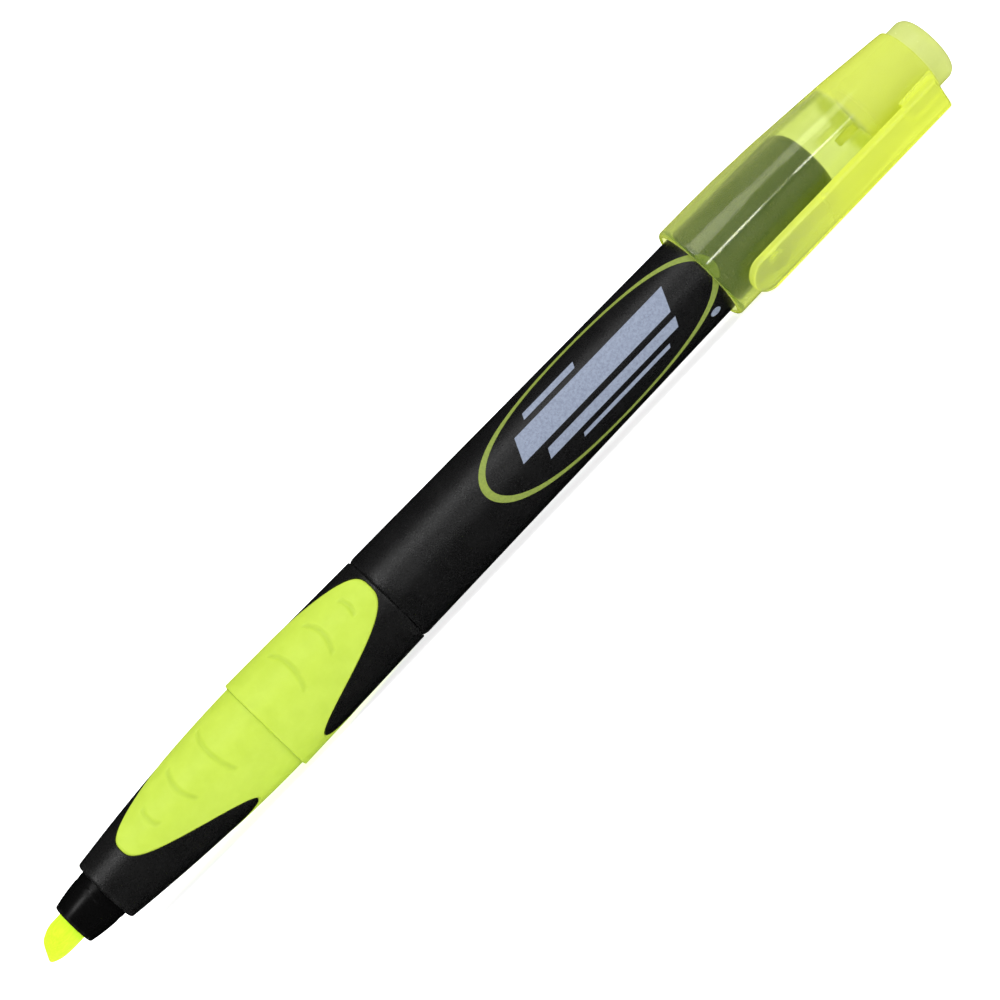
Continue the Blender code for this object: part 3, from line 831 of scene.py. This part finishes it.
def make_print():
    """A plain oval ring round four strokes, and a dot: what a chisel tip can draw."""
    olive = printed_ink("ink_olive", (0.19, 0.245, 0.03), (0.14, 0.19, 0.025))
    grey = printed_ink("ink_grey", (0.2, 0.235, 0.31), (0.14, 0.165, 0.23))
    turn = np.linspace(0.0, math.tau, 257)[:-1, None]
    across = np.linspace(-0.5, 0.5, 4)[None, :]
    width = RING_WIDTH * (1.0 + np.abs(np.cos(turn)) ** 3)
    ring_x = PRINT_MIDDLE + (PRINT_HALF_LENGTH + across * width) * np.cos(turn)
    ring_girth = (PRINT_HALF_GIRTH + across * width) * np.sin(turn)
    ink_film("print_ring", ring_x, ring_girth, olive, True)
    for number, (middle, tall, left, right) in enumerate(STROKES):
        side = np.linspace(-tall / 2, tall / 2, 8)[None, :]
        share = np.linspace(0.0, 1.0, 60)[:, None]
        lean = STROKE_LEAN * side
        x = mix(left + lean, right + lean, share)
        ink_film("print_stroke_%d" % (number + 1), x, middle + side + 0 * share, grey, False)
    dot = np.linspace(0.05, 1.0, 5)[None, :]
    x = DOT_PLACE[0] + DOT_SIZE[0] * dot * np.cos(turn[::8])
    girth = DOT_PLACE[1] + DOT_SIZE[1] * dot * np.sin(turn[::8])
    ink_film("print_dot", x, girth, grey, True)


# ---------------------------------------------------------------- cap


def cap_shell():
    """The shell alone: a tapered tube with a rounded lip, a chamfered mouth and a rounded far end."""
    lip, end_round = 0.5, 0.28
    chamfer_deep, chamfer_wide = 0.75, 0.16
    bore_r = CAP_R - CAP_WALL
    skin = arc(CAP_MOUTH + lip, CAP_R - lip, lip, 180.0, 90.0, 8)
    skin += [(x, float(cap_radius(x))) for x in np.arange(CAP_MOUTH + 1.0, CAP_END - 0.5, 0.5)]
    skin += arc(CAP_END - end_round, float(cap_radius(CAP_END)) - end_round, end_round, 90.0, 10.0, 6)
    places = np.linspace(CAP_END, LINER_RIM + 0.2, 16)
    hole = [(x, float(liner_radius(x)) + LINER_GAP) for x in places]
    places = np.arange(LINER_RIM - 0.3, CAP_MOUTH + 0.8, -0.6)
    inside = [(x, float(cap_radius(x)) - CAP_WALL) for x in places]
    mouth = [(CAP_MOUTH + chamfer_deep, bore_r), (CAP_MOUTH + 0.12, bore_r + chamfer_wide)]
    return turned("cap_and_clip", skin + hole + inside + mouth, offset=cap_offset, cols=256)


def clip_arm():
    """A flat bar with a round tip, rounded edges, a slanted end and a bump under its tip."""
    end_round, crown_height, lean_after = 0.6, 0.1, 24.0
    tip_x = CLIP_TIP + CLIP_HALF * (1.0 - np.cos(np.linspace(0.0, math.pi / 2, 18)))
    end = CLIP_END - (CLIP_OUT - CLIP_IN) * CLIP_SLOPE
    bar_x = np.linspace(tip_x[-1], end - end_round, 48)[1:]
    end_x = end - end_round * np.cos(np.linspace(0.0, math.pi / 2, 8))[1:]
    x = np.concatenate([tip_x, bar_x, end_x])[:, None]
    reach = np.clip(CLIP_TIP + CLIP_HALF - x, 0.0, CLIP_HALF)
    half = np.sqrt(np.clip(CLIP_HALF**2 - reach**2, 0.0, None))
    side = half * np.sin(np.linspace(-math.pi / 2, math.pi / 2, 33))[None, :]
    from_side = np.where(reach > 0, CLIP_HALF - np.hypot(reach, side), CLIP_HALF - np.abs(side))
    from_edge = np.minimum(from_side, np.clip(end - x, 0.0, None))
    drop = rounded(from_edge, CLIP_ROUND)
    crown = crown_height * (side / CLIP_HALF) ** 2
    upper = CLIP_OUT - drop - crown
    bump_x, bump_r, bump_h = CLIP_BUMP
    bump = np.clip(1.0 - ((x - bump_x) ** 2 + side**2) / bump_r**2, 0.0, 1.0)
    lower = CLIP_IN + drop - bump_h * bump
    lean = smooth(CLIP_TIP + lean_after, end, x)
    x_upper = x + (CLIP_OUT - upper) * CLIP_SLOPE * lean
    x_lower = x + (CLIP_OUT - lower) * CLIP_SLOPE * lean
    cols, rows = side.shape
    top = clip_place(x_upper, upper, side).reshape(-1, 3)
    under = clip_place(x_lower, lower, side).reshape(-1, 3)
    faces = grid_faces(cols, rows, False, False)
    count = cols * rows
    faces += [tuple(i + count for i in face) for face in faces]
    rim = [k * rows for k in range(cols)] + [(cols - 1) * rows + i for i in range(1, rows)]
    rim += [k * rows + rows - 1 for k in range(cols - 2, -1, -1)]
    faces += [(a, b, b + count, a + count) for a, b in zip(rim, rim[1:])]
    return mesh_object("clip_arm", np.concatenate([top, under]), faces)


def clip_root():
    """Block that joins the arm to the shell. Its front is hollowed and its foot lies in the wall.

    Its front and back are divided at several heights.
    """
    top, hollow_long, hollow_tall = 7.62, 1.1, 0.62
    sides = np.linspace(-ROOT_HALF, ROOT_HALF, 25)
    turns = np.linspace(0.0, math.pi / 2, 9)
    front = [(ROOT_FRONT - hollow_long * math.cos(t), top - hollow_tall * math.sin(t)) for t in turns]
    front += [(ROOT_FRONT + 0.05, r) for r in (6.94, BLEND_FROM, 6.78, 6.6, 6.4)]
    surface_front = float(cap_radius(ROOT_FRONT) + cap_offset(ROOT_FRONT))
    surface_end = float(cap_radius(CAP_END - 0.4) + cap_offset(CAP_END - 0.4))
    foot = [(ROOT_FRONT, surface_front + 0.1), (ROOT_FRONT - 0.1, surface_front - 0.25)]
    back = [(CAP_END - 0.3, surface_end - 0.25), (CAP_END - 0.32, surface_end + 0.3)]
    levels = (6.6, BLEND_FROM, 7.0, BLEND_TO, top)
    back += [(CLIP_END - (r - CLIP_IN) * CLIP_SLOPE - 0.06, r) for r in levels]
    profile = np.array(resampled(front + foot + back + front[:1], 0.25)[:-1])
    x = np.broadcast_to(profile[:, 0], (len(sides), len(profile)))
    low = 1.0 - smooth(surface_front + 0.1, surface_front + 1.0, profile[None, :, 1])
    sag = cap_radius(x) - np.sqrt(np.clip(cap_radius(x) ** 2 - sides[:, None] ** 2, 0.0, None))
    out = profile[None, :, 1] - low * sag
    points = clip_place(x, out, sides[:, None]).reshape(-1, 3)
    rows = len(profile)
    faces = grid_faces(len(sides), rows, False, True)
    faces.append(list(range(rows)))
    faces.append([(len(sides) - 1) * rows + i for i in range(rows)])
    return mesh_object("clip_root", points, faces)


def cap_rib(angle):
    """One short rib inside the cap, in front of the inner cap."""
    low_x, high_x, low_r, half, lead = 132.2, 137.3, 4.85, 0.5, 1.1
    x = np.array([low_x, low_x + lead, high_x, high_x])
    inner = np.array([cap_radius(low_x) - CAP_WALL - 0.05, low_r, low_r, low_r])
    outer = cap_radius(x) - CAP_WALL / 2
    points = []
    for sign in (-1.0, 1.0):
        for radius in (inner, outer):
            turn = np.degrees(sign * half / radius)
            points.append(place(x[:3], radius[:3], angle + turn[:3], cap_offset(x[:3])))
    block = np.concatenate(points)
    quads = [(0, 1, 4, 3), (1, 2, 5, 4), (6, 9, 10, 7), (7, 10, 11, 8)]
    quads += [(0, 6, 7, 1), (1, 7, 8, 2), (3, 4, 10, 9), (4, 5, 11, 10), (0, 3, 9, 6), (2, 8, 11, 5)]
    return mesh_object("cap_rib", block, quads)


def united(piece, parts):
    """Joins parts to a piece with Boolean unions, and removes them."""
    for part in parts:
        union = piece.modifiers.new("union", "BOOLEAN")
        union.operation = "UNION"
        union.solver = "EXACT"
        union.object = part
    bpy.context.view_layer.update()
    graph = bpy.context.evaluated_depsgraph_get()
    mesh = bpy.data.meshes.new_from_object(piece.evaluated_get(graph))
    piece.modifiers.clear()
    piece.data = mesh
    for part in parts:
        bpy.data.objects.remove(part, do_unlink=True)
    mesh.shade_smooth()
    mesh.set_sharp_from_angle(angle=math.radians(40.0))
    return piece


def cap_thickness(x, radius, angle):
    """How milky the plastic is, and so how strongly it glows: 0 in the free shell, more in its ribs and
    round the liner, where the milky colour and glow are painted light that brightens the shell.

    It is most in the clip, though less so near the clip's tip.
    """
    swing = np.radians(angle - CLIP_ANGLE)
    out = radius * np.cos(swing)
    skin = cap_radius(x) + cap_offset(x)
    # Round the liner the shell is painted milky and glowing: painted light, not thicker plastic.
    backed = 0.85 * smooth(LINER_RIM - 2.2, LINER_RIM - 1.7, x)
    milky = mix(0.5, 1.0, smooth(CLIP_TIP + 2.0, CLIP_TIP + 18.0, x))
    from_centre = np.sqrt(radius**2 + cap_offset(x) ** 2 - 2.0 * out * cap_offset(x))
    rib = 0.6 * smooth(CAP_WALL + 0.05, CAP_WALL + 0.2, cap_radius(x) - from_centre)
    return np.maximum(np.maximum(backed, rib), milky * smooth(-0.05, 0.3, out - skin))


def make_cap():
    """Shell, ribs, root and clip as one moulding."""
    parts = [cap_rib(RIB_ANGLE + 360.0 / RIB_COUNT * k) for k in range(RIB_COUNT)]
    parts += [clip_root(), clip_arm()]
    piece = united(cap_shell(), parts)
    attribute(piece, "thick", cap_thickness)
    material = tinted_plastic(
        "cap_yellow",
        colours=((0.60, 0.632, 0.47), (0.48, 0.53, 0.13)),
        clear=(0.97, 0.6),
        density=700.0,
        roughness=0.1,
        glows=((0.065, 0.15, 0.0), (0.86, 0.93, 0.02)),
    )
    finish_piece(piece, material, None, "cap_yellow", "cap_shell", "pocket_clip")
    tuple(clip_place(CLIP_TIP, BLEND_FROM, 0.0))
    tuple(clip_place(CLIP_TIP, BLEND_TO, 0.0))
    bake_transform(piece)


def make_inner_cap():
    """Liner cup with a rounded head, a shallow dimple in its end, and a thick sealing rim."""
    head, end_wall, dimple = 1.35, 1.25, 0.2
    outside = [(LINER_RIM + 0.12, LINER_RIM_R - 0.12), (LINER_RIM + 0.25, LINER_RIM_R)]
    outside += [(x, float(liner_radius(x))) for x in np.arange(LINER_RIM + 0.8, CAP_END + 0.9, 0.6)]
    outside += arc(LINER_END - head, LINER_HEAD_R - head, head, 90.0, 0.0, 12)
    outside += [(LINER_END, 1.1), (LINER_END - 0.9 * dimple, 0.7), (LINER_END - dimple, 0.0)]
    inside = [(LINER_END - end_wall, 0.0), (LINER_END - end_wall, 3.1), (LINER_END - 1.7, 3.45)]
    inside += [(LINER_RIM + 1.2, 3.85), (LINER_RIM + 0.4, 3.6), (LINER_RIM, 3.8)]
    inside += [(LINER_RIM, LINER_RIM_R - 0.2)]
    piece = turned("inner_cap_cup", inside + outside, loop=False, offset=cap_offset, cols=192)
    # Painted light: the liner is painted brighter inside the cap than at its exposed head.
    attribute(piece, "thick", lambda x, r, a: 0.6 + 0.4 * smooth(CAP_END - 0.5, CAP_END + 0.5, x))
    material = tinted_plastic(
        "liner_yellow",
        colours=((0.88, 0.93, 0.30), (0.51, 0.565, 0.19)),
        clear=(0.3, 0.3),
        density=250.0,
        roughness=0.25,
        glows=((0.22, 0.25, 0.005), (0.19, 0.215, 0.004)),
    )
    finish_piece(piece, material, "cap", "liner_yellow", "inner_cap")


def finish_hidden_nodes():
    """Materials for the CAD nodes that stay: the reservoir and its film."""
    fibre = inked_fibre("ink_fibre", (0.68, 0.9, 0.08), (0.5, 0.75, 0.04))
    for node, material in (("ink_reservoir", fibre), ("reservoir_film", thin_film("film_clear"))):
        mesh = frame["nodes"][node].data
        mesh.materials.clear()
        mesh.materials.append(material)


# ---------------------------------------------------------------- stage

CAMERA_AWAY = 450.0
CAMERA_TURN = -4.5
CAMERA_ROLL = -45.33
CAMERA_LENS = 138.0
AIM_ALONG = 0.23
AIM_DOWN = 1.51

# The floor is flat for its first ring and then rises. Each ring has a radius and a rise, in metres.
FLOOR_RINGS = [(1.5, 0.0), (2.5, 0.02), (4.0, 0.1), (60.0, 3.0)]
FLOOR_SIDES = 64
FLOOR_DROP = 0.00002

WORLD_POWER = 0.55
SUNS = [
    # name, power, rise, turn, size in degrees, and whether it is reflected and casts a shadow
    ("key", 0.48, 55.0, 3.0, 33.0, True),
    ("side", 0.3, 50.0, -32.0, 14.0, True),
    ("fill", 0.75, 40.0, 3.0, 60.0, False),
    ("top", 2.2, 88.0, 3.0, 80.0, False),
]
STRIP_AWAY = 0.6
STRIP_SIZE = (0.13, 0.036)


def make_floor():
    """A very wide pale floor under the pen, which rises gently far away, so that no edge is in view."""
    bm = bmesh.new()
    middle = bm.verts.new((0.0, 0.0, -FLOOR_DROP))
    turns = [math.tau * k / FLOOR_SIDES for k in range(FLOOR_SIDES)]
    last = None
    for radius, rise in FLOOR_RINGS:
        height = rise - FLOOR_DROP
        ring = [bm.verts.new((radius * math.cos(t), radius * math.sin(t), height)) for t in turns]
        for k in range(FLOOR_SIDES):
            j = (k + 1) % FLOOR_SIDES
            bm.faces.new((ring[k], ring[j], last[j], last[k]) if last else (middle, ring[k], ring[j]))
        last = ring
    bmesh.ops.recalc_face_normals(bm, faces=bm.faces)
    mesh = bpy.data.meshes.new("floor")
    bm.to_mesh(mesh)
    bm.free()
    mesh.shade_smooth()
    floor = bpy.data.objects.new("floor", mesh)
    bpy.context.scene.collection.objects.link(floor)
    floor.data.materials.append(pale_floor("floor_paper"))
    floor.visible_glossy = False


def make_camera():
    """Camera low on the printed side, rolled so that the pen rises to the right."""
    rise = math.radians(90.0 - FACE_ANGLE)
    turn = math.radians(CAMERA_TURN)
    back = Vector((math.sin(turn) * math.cos(rise), -math.cos(turn) * math.cos(rise), math.sin(rise)))
    middle = (NIB_TIP + LINER_END) / 2 + AIM_ALONG
    target = Vector(place(middle, AIM_DOWN, FACE_ANGLE + 90.0))
    data = bpy.data.cameras.new("camera")
    data.lens = CAMERA_LENS
    data.sensor_width = 36.0
    data.clip_start, data.clip_end = 0.01, 100.0
    camera = bpy.data.objects.new("camera", data)
    camera.location = target + back * CAMERA_AWAY * MM
    level = (-back).to_track_quat("-Z", "Y").to_matrix().to_4x4()
    camera.rotation_euler = (level @ Matrix.Rotation(math.radians(CAMERA_ROLL), 4, "Z")).to_euler()
    bpy.context.scene.collection.objects.link(camera)
    bpy.context.scene.camera = camera


def aim(lamp, rise, turn):
    """Points a lamp at the pen from a rise and a turn in degrees, and returns its direction."""
    up, spin = math.radians(rise), math.radians(turn)
    back = Vector((math.sin(spin) * math.cos(up), -math.cos(spin) * math.cos(up), math.sin(up)))
    lamp.rotation_euler = (-back).to_track_quat("-Z", "Y").to_euler()
    return back


def make_lamp(name, kind, power, rise, turn):
    """A lamp that faces the pen, and its data."""
    data = bpy.data.lights.new(name, kind)
    data.energy = power
    lamp = bpy.data.objects.new(name, data)
    lamp.location = aim(lamp, rise, turn)
    bpy.context.scene.collection.objects.link(lamp)
    return lamp, data


def make_lights():
    """A dim world, a soft key lamp, a side lamp, a wide fill, a top light, and a strip."""
    world = bpy.data.worlds.new("studio")
    world.use_nodes = True
    world.node_tree.nodes["Background"].inputs["Color"].default_value = (1.0, 1.0, 1.0, 1.0)
    world.node_tree.nodes["Background"].inputs["Strength"].default_value = WORLD_POWER
    world.cycles_visibility.glossy = False
    bpy.context.scene.world = world
    for name, power, rise, turn, size, seen in SUNS:
        lamp, data = make_lamp(name, "SUN", power, rise, turn)
        data.angle = math.radians(size)
        data.use_shadow = seen
        lamp.visible_glossy = seen
    strip, data = make_lamp("strip", "AREA", 0.22, 14.0, 14.0)
    data.shape = "RECTANGLE"
    data.size, data.size_y = STRIP_SIZE
    strip.location *= STRIP_AWAY
    bpy.context.scene.view_settings.view_transform = "Standard"


def main():
    """Builds every piece, the floor, the camera and the lights."""
    make_nib()
    make_nose()
    make_grip_casing()
    make_rubber()
    make_barrel()
    make_print()
    make_cap()
    make_inner_cap()
    finish_hidden_nodes()
    make_floor()
    make_camera()
    make_lights()


main()
